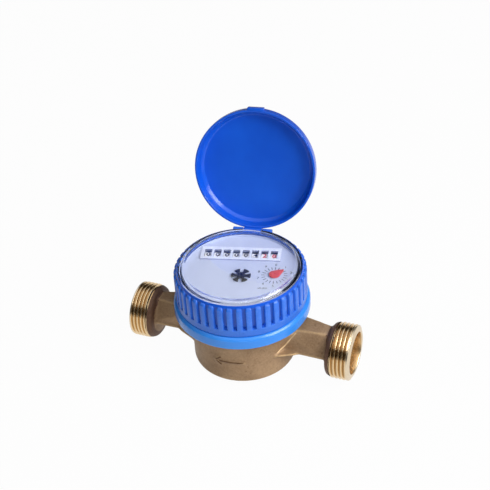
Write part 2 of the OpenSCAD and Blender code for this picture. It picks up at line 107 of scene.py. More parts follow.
def softBox(size, place, edge, steps=2):
    bm = bmesh.new()
    bmesh.ops.create_cube(bm, size=1)
    bmesh.ops.scale(bm, vec=Vector(size) * mm, verts=bm.verts)
    bmesh.ops.bevel(bm, geom=bm.edges, offset=edge * mm, segments=steps, profile=0.5, affect="EDGES")
    bm.transform(place)
    return bm


def softPin(radius, length, place, edge, steps=40):
    profile = [(0, 0), (radius, 0), (radius, length), (0, length)]
    return lathe(softCorners(profile, edge), place, steps, closed=False)


def joinParts(name, parts):
    whole = bmesh.new()
    for part in parts:
        if isinstance(part, bpy.types.Mesh):
            whole.from_mesh(part)
            bpy.data.meshes.remove(part)
            continue
        carrier = bpy.data.meshes.new("carrier")
        part.to_mesh(carrier)
        part.free()
        whole.from_mesh(carrier)
        bpy.data.meshes.remove(carrier)
    mesh = bpy.data.meshes.new(name)
    whole.to_mesh(mesh)
    whole.free()
    return mesh


def mergedCopy(nodeName):
    bm = bmesh.new()
    bm.from_mesh(nodes[nodeName].data)
    bmesh.ops.remove_doubles(bm, verts=bm.verts, dist=2e-6)
    return bm


def evaluatedMesh(carrier):
    bpy.context.view_layer.update()
    graph = bpy.context.evaluated_depsgraph_get()
    mesh = bpy.data.meshes.new_from_object(carrier.evaluated_get(graph))
    data = carrier.data
    kind = carrier.type
    bpy.data.objects.remove(carrier)
    if kind == "MESH":
        bpy.data.meshes.remove(data)
    else:
        bpy.data.curves.remove(data)
    return mesh


def carrierFor(mesh):
    carrier = bpy.data.objects.new("carrier", mesh)
    scene.collection.objects.link(carrier)
    return carrier


softening = {"flat": 0.3, "sharp": 40, "steps": 2}   # angles below flat are merged, those above sharp are rounded


def softenedCopy(nodeName, edge):
    # CAD node with a small round on its sharp edges
    bm = mergedCopy(nodeName)
    bmesh.ops.dissolve_limit(bm, angle_limit=math.radians(softening["flat"]), verts=bm.verts, edges=bm.edges)
    mesh = bpy.data.meshes.new(nodeName + "Soft")
    bm.to_mesh(mesh)
    bm.free()
    carrier = carrierFor(mesh)
    bevel = carrier.modifiers.new("edge", "BEVEL")
    bevel.width = edge * mm
    bevel.segments = softening["steps"]
    bevel.limit_method = "ANGLE"
    bevel.angle_limit = math.radians(softening["sharp"])
    return evaluatedMesh(carrier)


def addPiece(name, mesh, finishes, body, replaced=(), sharp=35):
    for finish in finishes:
        mesh.materials.append(finish)
    mesh.shade_smooth()
    mesh.set_sharp_from_angle(angle=math.radians(sharp))
    mesh.name = name
    piece = bpy.data.objects.new(name, mesh)
    scene.collection.objects.link(piece)
    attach(piece, body)
    if replaced:
        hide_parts(*replaced)
    return piece


# small helpers for shaders

def paint(red, green, blue):
    # colour as seen on a screen, 0 to 255, to linear
    parts = [c / 255 for c in (red, green, blue)]
    return [c / 12.92 if c <= 0.04045 else ((c + 0.055) / 1.055) ** 2.4 for c in parts] + [1]


def addNode(tree, kind, values=None, **settings):
    node = tree.nodes.new(kind)
    for key, value in settings.items():
        setattr(node, key, value)
    for key, value in (values or {}).items():
        node.inputs[key].default_value = value
    return node


def wire(tree, start, end):
    tree.links.new(start, end)


def mathNode(tree, operation, first, second):
    node = addNode(tree, "ShaderNodeMath", operation=operation)
    for socket, value in zip(node.inputs, (first, second)):
        if isinstance(value, (int, float)):
            socket.default_value = value
        else:
            wire(tree, value, socket)
    return node.outputs[0]


def spread(tree, value, low, high, outLow, outHigh):
    limits = {"From Min": low, "From Max": high, "To Min": outLow, "To Max": outHigh}
    node = addNode(tree, "ShaderNodeMapRange", limits)
    wire(tree, value, node.inputs["Value"])
    return node.outputs["Result"]


def blendColors(tree, mask, first, second):
    node = addNode(tree, "ShaderNodeMix", data_type="RGBA")
    wire(tree, mask, node.inputs[0])
    for socket, value in ((node.inputs[6], first), (node.inputs[7], second)):
        if isinstance(value, list):
            socket.default_value = value
        else:
            wire(tree, value, socket)
    return node.outputs[2]


def effectGroup(name, inputs, outputs):
    tree = bpy.data.node_groups.new(name, "ShaderNodeTree")
    for label, value in inputs:
        socket = tree.interface.new_socket(label, in_out="INPUT", socket_type="NodeSocketFloat")
        socket.default_value = value
    for label in outputs:
        tree.interface.new_socket(label, in_out="OUTPUT", socket_type="NodeSocketFloat")
    return tree, tree.nodes.new("NodeGroupInput"), tree.nodes.new("NodeGroupOutput")


def noiseIn(tree, scale, detail, rough=0.55):
    place = addNode(tree, "ShaderNodeTexCoord")
    noise = addNode(tree, "ShaderNodeTexNoise", {"Detail": detail, "Roughness": rough})
    wire(tree, place.outputs["Object"], noise.inputs["Vector"])
    if isinstance(scale, (int, float)):
        noise.inputs["Scale"].default_value = scale
    else:
        wire(tree, scale, noise.inputs["Scale"])
    return noise.outputs["Fac"]


def makeSandSkin():
    # grain of a sand casting: broad stains, grains and pits
    tree, start, end = effectGroup("sandSkin", (("Grain", 1100), ("Stain", 70)), ("Tone", "Height", "Pits"))
    grains = noiseIn(tree, start.outputs["Grain"], 5, 0.65)
    stains = noiseIn(tree, start.outputs["Stain"], 3)
    pits = noiseIn(tree, 620, 2)
    broad = mathNode(tree, "MULTIPLY", stains, 0.55)
    fine = mathNode(tree, "MULTIPLY", grains, 0.45)
    wire(tree, mathNode(tree, "ADD", broad, fine), end.inputs["Tone"])
    pitMask = spread(tree, pits, 0.66, 0.74, 0, 1)
    wire(tree, pitMask, end.inputs["Pits"])
    wire(tree, mathNode(tree, "SUBTRACT", grains, mathNode(tree, "MULTIPLY", pitMask, 0.35)), end.inputs["Height"])
    return tree


def makeMouldSkin():
    # satin skin of a moulded plastic, with a slow change of tone
    tree, start, end = effectGroup("mouldSkin", (("Grain", 2400), ("Cloud", 45)), ("Tone", "Height"))
    wire(tree, noiseIn(tree, start.outputs["Cloud"], 3), end.inputs["Tone"])
    wire(tree, noiseIn(tree, start.outputs["Grain"], 3), end.inputs["Height"])
    return tree


def makeEdgeRub():
    # mask that is 1 on sharp outer edges: edge wear, and a painted edge highlight
    tree, start, end = effectGroup("edgeWearHighlight", (("Low", 0.52), ("High", 0.58), ("Break", 260)), ("Mask",))
    shape = addNode(tree, "ShaderNodeNewGeometry")
    wearHighlightMask = addNode(tree, "ShaderNodeMapRange")
    wire(tree, shape.outputs["Pointiness"], wearHighlightMask.inputs["Value"])
    wire(tree, start.outputs["Low"], wearHighlightMask.inputs["From Min"])
    wire(tree, start.outputs["High"], wearHighlightMask.inputs["From Max"])
    broken = spread(tree, noiseIn(tree, start.outputs["Break"], 4), 0.3, 0.6, 0.35, 1)
    wire(tree, mathNode(tree, "MULTIPLY", wearHighlightMask.outputs["Result"], broken), end.inputs["Mask"])
    return tree


def makeTurnMarks():
    # fine tool marks of a lathe, rings about the pipe axis
    tree, start, end = effectGroup("turnMarks", (("Fine", 5200), ("Stain", 160)), ("Height", "Tone"))
    place = addNode(tree, "ShaderNodeTexCoord")
    squash = addNode(tree, "ShaderNodeMapping", {"Scale": (1, 0.004, 0.004)})
    wire(tree, place.outputs["Object"], squash.inputs["Vector"])
    lines = addNode(tree, "ShaderNodeTexNoise", {"Detail": 2})
    wire(tree, squash.outputs["Vector"], lines.inputs["Vector"])
    wire(tree, start.outputs["Fine"], lines.inputs["Scale"])
    wire(tree, lines.outputs["Fac"], end.inputs["Height"])
    wire(tree, noiseIn(tree, start.outputs["Stain"], 4), end.inputs["Tone"])
    return tree


noiseRange = (0.3, 0.7)   # part of a noise's range that shows
sandSkin = makeSandSkin()
mouldSkin = makeMouldSkin()
edgeWearHighlight = makeEdgeRub()
turnMarks = makeTurnMarks()


def placeGroup(tree, group, values):
    node = addNode(tree, "ShaderNodeGroup")
    node.node_tree = group
    for key, value in values.items():
        node.inputs[key].default_value = value
    return node.outputs


def newFinish(name, **sockets):
    finish = bpy.data.materials.new(name)
    finish.use_nodes = True
    shader = finish.node_tree.nodes["Principled BSDF"]
    for key, value in sockets.items():
        shader.inputs[key].default_value = value
    return finish, finish.node_tree, shader


def addBump(tree, shader, height, depth, strength=1.0):
    bump = addNode(tree, "ShaderNodeBump", {"Distance": depth * mm, "Strength": strength})
    wire(tree, height, bump.inputs["Height"])
    wire(tree, bump.outputs["Normal"], shader.inputs["Normal"])


def plasticFinish(name, dark, light, rough, wornEdgeHighlight=None, specular=0.5):
    finish, tree, shader = newFinish(name, **{"Specular IOR Level": specular})
    skin = placeGroup(tree, mouldSkin, {"Grain": 2400})
    color = blendColors(tree, spread(tree, skin["Tone"], *noiseRange, 0, 1), dark, light)
    # lighter colour on the sharp edges of the plastic is a painted edge highlight
    if wornEdgeHighlight:
        wearHighlightMask = placeGroup(tree, edgeWearHighlight, {"Low": 0.51, "High": 0.6})
        color = blendColors(tree, mathNode(tree, "MULTIPLY", wearHighlightMask["Mask"], 0.5), color, wornEdgeHighlight)
    wire(tree, color, shader.inputs["Base Color"])
    wire(tree, spread(tree, skin["Height"], *noiseRange, rough - 0.05, rough + 0.06), shader.inputs["Roughness"])
    addBump(tree, shader, skin["Height"], 0.012)
    return finish


def metalFinish(name, dark, light, rough, depth=0.01):
    finish, tree, shader = newFinish(name, Metallic=1.0)
    marks = placeGroup(tree, turnMarks, {"Fine": 5200})
    tone = spread(tree, marks["Tone"], *noiseRange, 0, 1)
    wire(tree, blendColors(tree, tone, dark, light), shader.inputs["Base Color"])
    wire(tree, spread(tree, marks["Tone"], *noiseRange, rough - 0.06, rough + 0.08), shader.inputs["Roughness"])
    addBump(tree, shader, marks["Height"], depth)
    return finish


def threadFinish(axisZ, darkRootRadii):
    # turned brass, darker brown towards the roots of the thread
    finish, tree, shader = newFinish("threadBrass", Metallic=1.0)
    marks = placeGroup(tree, turnMarks, {})
    place = addNode(tree, "ShaderNodeTexCoord")
    offset = addNode(tree, "ShaderNodeVectorMath", operation="SUBTRACT")
    offset.inputs[1].default_value = (0, 0, axisZ * mm)
    across = addNode(tree, "ShaderNodeVectorMath", operation="MULTIPLY")
    across.inputs[1].default_value = (0, 1, 1)
    radius = addNode(tree, "ShaderNodeVectorMath", operation="LENGTH")
    wire(tree, place.outputs["Object"], offset.inputs[0])
    wire(tree, offset.outputs["Vector"], across.inputs[0])
    wire(tree, across.outputs["Vector"], radius.inputs[0])
    tone = spread(tree, marks["Tone"], *noiseRange, 0, 1)
    color = blendColors(tree, tone, paint(222, 192, 146), paint(238, 210, 166))
    root = spread(tree, radius.outputs["Value"], darkRootRadii[0] * mm, darkRootRadii[1] * mm, 0.45, 0)
    wire(tree, blendColors(tree, root, color, paint(112, 80, 48)), shader.inputs["Base Color"])
    wire(tree, spread(tree, marks["Tone"], *noiseRange, 0.14, 0.24), shader.inputs["Roughness"])
    addBump(tree, shader, marks["Height"], 0.0015)
    return finish


def castFinish(name, dark, light, wornEdgeHighlight):
    finish, tree, shader = newFinish(name, **{"Metallic": 0.3, "Specular IOR Level": 0.25})
    skin = placeGroup(tree, sandSkin, {})
    # lighter colour on the sharp edges of the brass is edge wear and partly a painted highlight
    wearHighlightMask = placeGroup(tree, edgeWearHighlight, {"Low": 0.505, "High": 0.57, "Break": 300})
    tone = spread(tree, skin["Tone"], 0.36, 0.64, 0, 1)
    color = blendColors(tree, tone, dark, light)
    color = blendColors(tree, mathNode(tree, "MULTIPLY", skin["Pits"], 0.5), color, paint(104, 78, 54))
    color = blendColors(tree, wearHighlightMask["Mask"], color, wornEdgeHighlight)
    wire(tree, color, shader.inputs["Base Color"])
    wire(tree, spread(tree, skin["Tone"], *noiseRange, 0.58, 0.44), shader.inputs["Roughness"])
    addBump(tree, shader, skin["Height"], 0.07, 0.7)
    return finish


def lensFinish():
    finish, tree, shader = newFinish("clearLens", Roughness=0.012, IOR=1.49)
    shader.inputs["Base Color"].default_value = (1, 1, 1, 1)
    shader.inputs["Transmission Weight"].default_value = 1.0
    rays = addNode(tree, "ShaderNodeLightPath")
    clear = addNode(tree, "ShaderNodeBsdfTransparent", {"Color": (0.94, 0.95, 0.96, 1)})
    pick = addNode(tree, "ShaderNodeMixShader")
    wire(tree, rays.outputs["Is Shadow Ray"], pick.inputs[0])
    wire(tree, shader.outputs[0], pick.inputs[1])
    wire(tree, clear.outputs[0], pick.inputs[2])
    wire(tree, pick.outputs[0], tree.nodes["Material Output"].inputs["Surface"])
    return finish


finishes = {
    "cast_brass": castFinish("castBrass", paint(140, 112, 84), paint(178, 147, 114), paint(216, 182, 132)),
    "turned_brass": threadFinish(13.7, (12.1, 12.8)),
    "steel": metalFinish("drawnSteel", paint(150, 152, 156), paint(196, 198, 202), 0.3),
    "moulded_cream": plasticFinish("mouldedCream", paint(222, 215, 196), paint(236, 231, 216), 0.45),
    "jewel": plasticFinish("rubyJewel", paint(150, 30, 60), paint(190, 50, 84), 0.15),
    "magnet": plasticFinish("sinteredMagnet", paint(52, 54, 58), paint(78, 80, 84), 0.5),
    "seal_rubber": plasticFinish("sealRubber", paint(28, 29, 31), paint(44, 45, 47), 0.6),
    "light_blue": plasticFinish("lightBlue", paint(52, 140, 238), paint(62, 150, 246), 0.22),
    # the lighter blue on the lip's sharp edges is a painted edge highlight
    "deep_blue": plasticFinish("deepBlue", paint(12, 82, 206), paint(18, 92, 218), 0.22, paint(60, 126, 240), 0.45),
    "register_white": plasticFinish("registerWhite", paint(179, 187, 214), paint(188, 196, 221), 0.5),
    "clear_lens": lensFinish(),
    "star_black": plasticFinish("starBlack", paint(26, 27, 30), paint(40, 41, 45), 0.45),
    "pointer_red": plasticFinish("pointerRed", paint(188, 66, 66), paint(204, 84, 80), 0.4),
    "digit_white": plasticFinish("digitWhite", paint(230, 231, 236), paint(240, 241, 245), 0.45),
}
facedBrass = metalFinish("facedBrass", paint(226, 207, 176), paint(236, 218, 190), 0.32, 0.003)
mouthBrass = metalFinish("mouthBrass", paint(208, 174, 126), paint(222, 190, 142), 0.36, 0.003)
# the shoulder's darker, redder brass: its own redder cast tone plus painted shade
shadedShoulderBrass = castFinish("shadedShoulderBrass", paint(96, 70, 54), paint(124, 93, 74), paint(140, 110, 86))
# the crease's lighter brass is a painted highlight
creaseHighlightBrass = castFinish("creaseHighlightBrass", paint(196, 162, 118), paint(226, 194, 148), paint(236, 208, 164))
# the arrow's dark brown is a painted shadow
arrowShadowBrass = castFinish("arrowShadowBrass", paint(88, 66, 48), paint(112, 86, 62), paint(120, 92, 66))
lidBlue = plasticFinish("lidBlue", paint(12, 84, 208), paint(18, 94, 220), 0.2)
# darker groove blue is painted shade; the lighter rib and band blues are painted light
grooveShadeBlue = plasticFinish("grooveShadeBlue", paint(8, 72, 172), paint(13, 81, 184), 0.4)
ribLitBlue = plasticFinish("ribLitBlue", paint(34, 100, 214), paint(42, 110, 224), 0.24, paint(80, 143, 248), 0.45)
bandLitBlue = plasticFinish("bandLitBlue", paint(46, 110, 216), paint(57, 121, 228), 0.3, paint(104, 160, 252), 0.45)
# lighter frame top is painted light, greyer frame sides are painted shade
frameLitWhite = plasticFinish("frameLitWhite", paint(210, 216, 236), paint(218, 224, 242), 0.4)
frameShadeGrey = plasticFinish("frameShadeGrey", paint(136, 142, 172), paint(146, 152, 182), 0.5)
inkBlack = plasticFinish("inkBlack", paint(30, 31, 36), paint(44, 45, 50), 0.6)
inkRed = plasticFinish("inkRed", paint(196, 44, 44), paint(212, 60, 58), 0.6)
# black for the counter frame, bridge plate and lens seat is painted shade
shadeBlack = plasticFinish("counterBlack", paint(20, 21, 23), paint(32, 33, 36), 0.6)
print("finishes made")

# CAD nodes that stay take the finish of their slot
for part in frame["record"]["subparts"]:
    for matSlot in nodes[part["node"]].material_slots:
        matSlot.material = finishes[part["material_slot"]]
# those seen through the lens: counter frame and bridge plate in black as painted shade behind the windows, the arbors
# in the star's black and the pointer's red
dressed = {"counter_frame": shadeBlack, "bridge_plate": shadeBlack,
           "star_arbor": finishes["star_black"], "pointer_arbor": finishes["pointer_red"]}
for nodeName, finish in dressed.items():
    for matSlot in nodes[nodeName].material_slots:
        matSlot.material = finish


# Geometry Nodes tree that repeats a shape about the Z axis
def makeRowTree():
    tree = bpy.data.node_groups.new("roundRow", "GeometryNodeTree")
    face = tree.interface
    face.new_socket("Geometry", in_out="INPUT", socket_type="NodeSocketGeometry")
    face.new_socket("Count", in_out="INPUT", socket_type="NodeSocketInt")
    face.new_socket("Start", in_out="INPUT", socket_type="NodeSocketFloat")
    face.new_socket("Step", in_out="INPUT", socket_type="NodeSocketFloat")
    face.new_socket("Finish", in_out="INPUT", socket_type="NodeSocketMaterial")
    face.new_socket("Geometry", in_out="OUTPUT", socket_type="NodeSocketGeometry")
    start = tree.nodes.new("NodeGroupInput")
    end = tree.nodes.new("NodeGroupOutput")
    row = tree.nodes.new("GeometryNodeMeshLine")
    row.inputs["Offset"].default_value = (0, 0, 0)
    index = tree.nodes.new("GeometryNodeInputIndex")
    turn = tree.nodes.new("ShaderNodeMath")
    turn.operation = "MULTIPLY_ADD"
    euler = tree.nodes.new("ShaderNodeCombineXYZ")
    rotation = tree.nodes.new("FunctionNodeEulerToRotation")
    copies = tree.nodes.new("GeometryNodeInstanceOnPoints")
    real = tree.nodes.new("GeometryNodeRealizeInstances")
    dress = tree.nodes.new("GeometryNodeSetMaterial")
    wire(tree, start.outputs["Count"], row.inputs["Count"])
    wire(tree, index.outputs[0], turn.inputs[0])
    wire(tree, start.outputs["Step"], turn.inputs[1])
    wire(tree, start.outputs["Start"], turn.inputs[2])
    wire(tree, turn.outputs[0], euler.inputs["Z"])
    wire(tree, euler.outputs[0], rotation.inputs[0])
    wire(tree, row.outputs["Mesh"], copies.inputs["Points"])
    wire(tree, start.outputs["Geometry"], copies.inputs["Instance"])
    wire(tree, rotation.outputs[0], copies.inputs["Rotation"])
    wire(tree, copies.outputs["Instances"], real.inputs["Geometry"])
    wire(tree, real.outputs["Geometry"], dress.inputs["Geometry"])
    wire(tree, start.outputs["Finish"], dress.inputs["Material"])
    wire(tree, dress.outputs["Geometry"], end.inputs["Geometry"])
    return tree


rowTree = makeRowTree()


def repeatRound(bm, count, startAngle, stepAngle, finish):
    mesh = bpy.data.meshes.new("repeated")
    bm.to_mesh(mesh)
    bm.free()
    carrier = carrierFor(mesh)
    row = carrier.modifiers.new("row", "NODES")
    row.node_group = rowTree
    values = {"Count": count, "Start": math.radians(startAngle), "Step": math.radians(stepAngle), "Finish": finish}
    for item in rowTree.interface.items_tree:
        if item.in_out == "INPUT" and item.name in values:
            row[item.identifier] = values[item.name]
    return evaluatedMesh(carrier)


# cast body: the CAD casting melted to soft sand-cast edges
castBody = {"voxel": 0.6, "smooth": 2, "cut": 45.25, "axisZ": 13.7, "shoulder": 42.0, "neck": 9.5}
bodyFinishes = {"cast": finishes["cast_brass"], "thread": finishes["turned_brass"], "faced": facedBrass,
                "shoulder": shadedShoulderBrass, "mouth": mouthBrass, "arrow": arrowShadowBrass, "crease": creaseHighlightBrass}
bodyIndex = {name: i for i, name in enumerate(bodyFinishes)}


def makeCastBody():
    bm = mergedCopy("meter_body")
    mesh = bpy.data.meshes.new("casting")
    bm.to_mesh(mesh)
    bm.free()
    carrier = carrierFor(mesh)
    melt = carrier.modifiers.new("melt", "REMESH")
    melt.mode = "VOXEL"
    melt.voxel_size = castBody["voxel"] * mm
    soft = bmesh.new()
    soft.from_mesh(evaluatedMesh(carrier))
    for _ in range(castBody["smooth"]):
        bmesh.ops.smooth_vert(soft, verts=soft.verts, factor=0.5, use_axis_x=True, use_axis_y=True, use_axis_z=True)
    # shoulder discs take the darker brass, which is partly painted shade
    for face in soft.faces:
        spot = face.calc_center_median() / mm
        fromAxis = math.hypot(spot.y, spot.z - castBody["axisZ"])
        if abs(spot.x) > castBody["shoulder"] and fromAxis > castBody["neck"]:
            face.material_index = bodyIndex["shoulder"]
    for side in (-1, 1):
        bmesh.ops.bisect_plane(soft, geom=soft.verts[:] + soft.edges[:] + soft.faces[:],
                               plane_co=(side * castBody["cut"] * mm, 0, 0), plane_no=(side, 0, 0), clear_outer=True)
    return soft


# threaded union end, cut on a lathe
threadEnd = {"crest": 13.2, "depth": 1.12, "pitch": 1.814, "start": 45.15, "end": 55.0, "clear": 0.45, "runOut": 0.7,
             "over": 0.3, "stop": 0.5, "flatRoot": 0.04, "flank": 0.78, "plainStart": 0.28, "plainLip": 0.8,
             "chamfer": 2.1, "lead": 2.2, "lip": 1.6, "mouth": 10.0, "mouthStart": 46.0, "bore": 7.5,
             "row": 0.12, "steps": 180}


def ease(t):
    t = min(1, max(0, t))
    return t * t * (3 - 2 * t)


def threadRadius(x, side, angle):
    # the ridge runs out before the shoulder and stops short of the plain lip
    t = threadEnd
    phase = (side * x / t["pitch"] - angle / (2 * math.pi)) % 1
    ridge = ease((abs(2 * phase - 1) - t["flatRoot"]) / t["flank"])
    lipStart = t["end"] - t["lip"]
    cut = ease((x - t["start"] - t["clear"]) / t["runOut"]) * ease((lipStart + t["over"] - x) / t["stop"])
    plain = t["plainStart"] if x < lipStart - 1 else t["plainLip"]
    radius = t["crest"] - t["depth"] * (1 - plain) + cut * (ridge - plain) * t["depth"]
    leadIn = t["crest"] - t["chamfer"] + (t["end"] - x) * t["lead"]
    return min(radius, leadIn)


def makeThreadEnd(side):
    t = threadEnd
    start, end, mouth, floor, bore = (t[k] for k in ("start", "end", "mouth", "mouthStart", "bore"))
    count = int((end - start) / t["row"])
    # (x, radius) from the shoulder out over the thread, then round the lip and down the mouth to the bore
    rows = [(start + (end - start) * i / count, None) for i in range(count + 1)]
    rows += [(end, t["crest"] - t["chamfer"] - 0.25), (end, mouth + 0.42), (end - 0.12, mouth + 0.14)]
    rows += [(end - 0.4, mouth), (end - 3.2, mouth), (floor + 0.25, mouth), (floor, mouth - 0.25)]
    rows += [(floor, bore + 0.2), (floor - 0.2, bore), (start - 0.4, bore)]
    bm = bmesh.new()
    rings = []
    for x, fixed in rows:
        ring = []
        for i in range(t["steps"]):
            angle = 2 * math.pi * i / t["steps"]
            radius = threadRadius(x, side, angle) if fixed is None else fixed
            place = (side * x, radius * math.cos(angle), castBody["axisZ"] + radius * math.sin(angle))
            ring.append(bm.verts.new(Vector(place) * mm))
        rings.append(ring)
    for low, high in zip(rings, rings[1:]):
        for i in range(t["steps"]):
            j = (i + 1) % t["steps"]
            corners = (low[i], low[j], high[j], high[i])
            face = bm.faces.new(corners if side < 0 else corners[::-1])
            face.material_index = bodyIndex[turnedFinish(low[i].co, high[i].co)]
    return bm


def turnedFinish(low, high):
    # thread, then the plain turned lip and end face, then the mouth
    t = threadEnd
    depth = t["end"] - abs(low.x + high.x) / 2 / mm
    radius = math.hypot(low.y, low.z - castBody["axisZ"] * mm) / mm
    if radius < t["mouth"] + 0.1:
        return "mouth"
    return "faced" if depth < t["lip"] - 0.2 else "thread"


# raised flow arrow on the front of the cup, in a dark brown that is painted shadow under its bars
flowArrow = {"height": 0.6, "radius": 24.2, "lift": 0.6, "head": -4.6, "tail": 9.6, "barb": 2.6, "steps": 16,
             "section": ((-0.5, -0.5), (-0.5, 0.9), (-0.36, 1), (0.2, 0.7), (0.7, -0.5))}


def ridgeOnCup(start, end):
    # low rounded ridge that follows the cup from one (x, z) point to the next
    a = flowArrow
    steps, section = a["steps"], a["section"]
    bm = bmesh.new()
    along = (Vector(end) - Vector(start)).normalized()
    across = Vector((-along.y, along.x))
    rings = []
    for i in range(steps + 1):
        mid = Vector(start).lerp(Vector(end), i / steps)
        fade = min(1, 4 * min(i, steps - i) / steps + 0.25)
        ring = []
        for side, lift in section:
            spot = mid + across * side
            radius = a["radius"] + lift * a["height"] * fade
            depth = -math.sqrt(radius ** 2 - spot.x ** 2)
            ring.append(bm.verts.new((spot.x * mm, depth * mm, (castBody["axisZ"] + a["lift"] + spot.y) * mm)))
        rings.append(ring)
    for low, high in zip(rings, rings[1:]):
        for k in range(len(section)):
            m = (k + 1) % len(section)
            bm.faces.new((low[k], low[m], high[m], high[k]))
    bm.faces.new(rings[0])
    bm.faces.new(rings[-1])
    for face in bm.faces:
        face.material_index = bodyIndex["arrow"]
    bmesh.ops.recalc_face_normals(bm, faces=bm.faces)
    return bm


def makeArrow():
    head, barb = flowArrow["head"], flowArrow["barb"]
    barbs = [ridgeOnCup((head + barb, side * barb * 0.9), (head - 0.3, -0.1 * side)) for side in (1, -1)]
    return [ridgeOnCup((flowArrow["tail"], 0), (head, 0))] + barbs


# sharp crease where the inlet neck runs into the cup, a bead in a lighter brass that is a painted highlight
neckCrease = {"path": ((28.3, -6.3, 24.2), (26.7, -7.1, 22.2), (25.1, -7.7, 19.7), (23.5, -8.3, 17.2),
                       (22.1, -9.8, 15.8), (21.2, -11.5, 15.2), (20.1, -13.3, 14.6)), "radius": 0.42}


def makeCrease():
    curve = bpy.data.curves.new("crease", "CURVE")
    curve.dimensions = "3D"
    curve.bevel_depth = neckCrease["radius"] * mm
    curve.bevel_resolution = 1
    curve.use_fill_caps = True
    line = curve.splines.new("POLY")
    line.points.add(len(neckCrease["path"]) - 1)
    for i, (point, spot) in enumerate(zip(line.points, neckCrease["path"])):
        point.co = (*(Vector(spot) * mm), 1)
        point.radius = 0.5 if i in (0, len(neckCrease["path"]) - 1) else 1
    mesh = evaluatedMesh(carrierFor(curve))
    for face in mesh.polygons:
        face.material_index = bodyIndex["crease"]
    return mesh


bodyParts = [makeCastBody(), makeThreadEnd(1), makeThreadEnd(-1), makeCrease()] + makeArrow()
bodyMesh = joinParts("meterCasting", bodyParts)
addPiece("meterCasting", bodyMesh, bodyFinishes.values(), "meter", ("meter_body",), sharp=60)
print("cast body made:", len(bodyMesh.polygons), "faces")


# light blue base ring
baseRing = {"outer": 31.7, "low": 29.3, "high": 35.2, "inner": 27.3, "collar": 25.25, "step": 1.3, "wall": 1.5,
            "floor": 2.3, "edge": 0.45}


def makeBaseRing():
    b = baseRing
    profile = [(b["collar"], b["low"]), (b["outer"] - 0.3, b["low"]), (b["outer"], b["low"] + 0.4),
               (b["outer"], b["high"] - 1.2), (b["outer"] - 1.1, b["high"]), (b["inner"], b["high"]),
               (b["inner"], b["high"] - b["step"]), (b["inner"] + b["wall"], b["high"] - b["step"]),
               (b["inner"] + b["wall"], b["low"] + b["floor"]), (b["collar"], b["low"] + b["floor"])]
    return lathe(softCorners(profile, b["edge"]))


addPiece("baseRing", joinParts("baseRing", [makeBaseRing()]), [finishes["light_blue"]],
         "meter", ("base_ring",), sharp=50)

# ribbed ring with its hinge lugs
ribRing = {"outer": 30.4, "inner": 27.9, "turn": 7.84, "low": 35.5, "high": 52.0, "slope": 1.8, "band": 3.6,
           "depth": 1.1, "count": 44, "groove": 1.75, "pocket": 0.6, "pocketHeight": 1.3, "edge": 0.32,
           "corner": 0.16, "seat": 28.5, "seatDeep": 1.7}
# one blue moulding: ribs and band in lighter copies as painted light, grooves darker and seat black as painted shade
ringFinishes = {"rib": ribLitBlue, "lip": finishes["deep_blue"], "seat": shadeBlack, "groove": grooveShadeBlue,
                "band": bandLitBlue}
ringIndex = {name: i for i, name in enumerate(ringFinishes)}
hinge = {"y": 29.2, "z": 50.6, "knuckle": 1.3, "half": 4.6, "lug": 4.8, "back": 30.5, "front": 28.05,
         "foot": 45.9, "top": 50.3, "gap": 0.3}


def makeRib():
    # one rib at angle 0, rounded on its outer edges and at its top
    r = ribRing
    half = (2 * math.pi * r["outer"] / r["count"] - r["groove"]) / 2
    back = r["outer"] - r["depth"] - r["pocket"] - 0.3
    edge = r["edge"]
    low = r["low"] + r["band"] - 0.3
    shoulder = r["high"] - r["slope"]
    # height, how far the front draws back there, and how much narrower each side is
    levels = [(low, 0, 0), (shoulder - 0.35, 0, 0), (shoulder + 0.05, 0.1, 0.03), (shoulder + 0.4, 0.34, 0.12),
              (shoulder + 0.7, 0.68, 0.28), (shoulder + 0.9, 1.02, 0.5)]
    bm = bmesh.new()
    rings = []
    for z, pullBack, narrow in levels:
        out = r["outer"] - pullBack
        side = half - narrow
        bend = edge * 0.3
        outline = [(back, -side - 0.08), (out - edge, -side), (out - bend, -side + bend), (out, -side + edge),
                   (out, side - edge), (out - bend, side - bend), (out - edge, side), (back, side + 0.08)]
        rings.append([bm.verts.new((x * mm, y * mm, z * mm)) for x, y in outline])
    count = len(rings[0])
    for lower, upper in zip(rings, rings[1:]):
        for k in range(count):
            m = (k + 1) % count
            bm.faces.new((lower[k], lower[m], upper[m], upper[k]))
    bm.faces.new(rings[0])
    bm.faces.new(rings[-1])
    bmesh.ops.recalc_face_normals(bm, faces=bm.faces)
    return bm


def makeRibDrum():
    r = ribRing
    floor = r["outer"] - r["depth"]
    foot = r["low"] + r["band"]
    deep = floor - r["pocket"]
    profile = [(r["inner"], r["low"]), (r["outer"] - 0.3, r["low"]), (r["outer"], r["low"] + 0.35),
               (r["outer"], foot), (deep, foot), (deep, foot + r["pocketHeight"]),
               (floor, foot + r["pocketHeight"] + 0.35), (floor, r["high"] - r["slope"] + 0.7),
               (r["seat"] + 0.3, r["high"]), (r["seat"], r["high"]), (r["seat"], r["high"] - r["seatDeep"]),
               (r["inner"], r["high"] - r["seatDeep"])]
    return lathe(softCorners(profile, r["corner"]), steps=4 * r["count"])


def dressDrum(mesh):
    # ribs stand on the ring's deep blue; the grooves take a darker blue as painted shade, the band a lighter blue as
    # painted light, and the seat of the lens is painted black as shade
    r = ribRing
    for face in mesh.polygons:
        spot = face.center / mm
        name = "lip" if spot.z > r["high"] - r["slope"] else "groove"
        if spot.z < r["low"] + r["band"] + 0.1:
            name = "band"
        elif math.hypot(spot.x, spot.y) < r["seat"] + 0.04 and spot.z > r["high"] - r["seatDeep"] - 0.1:
            name = "seat"
        face.material_index = ringIndex[name]
    return mesh


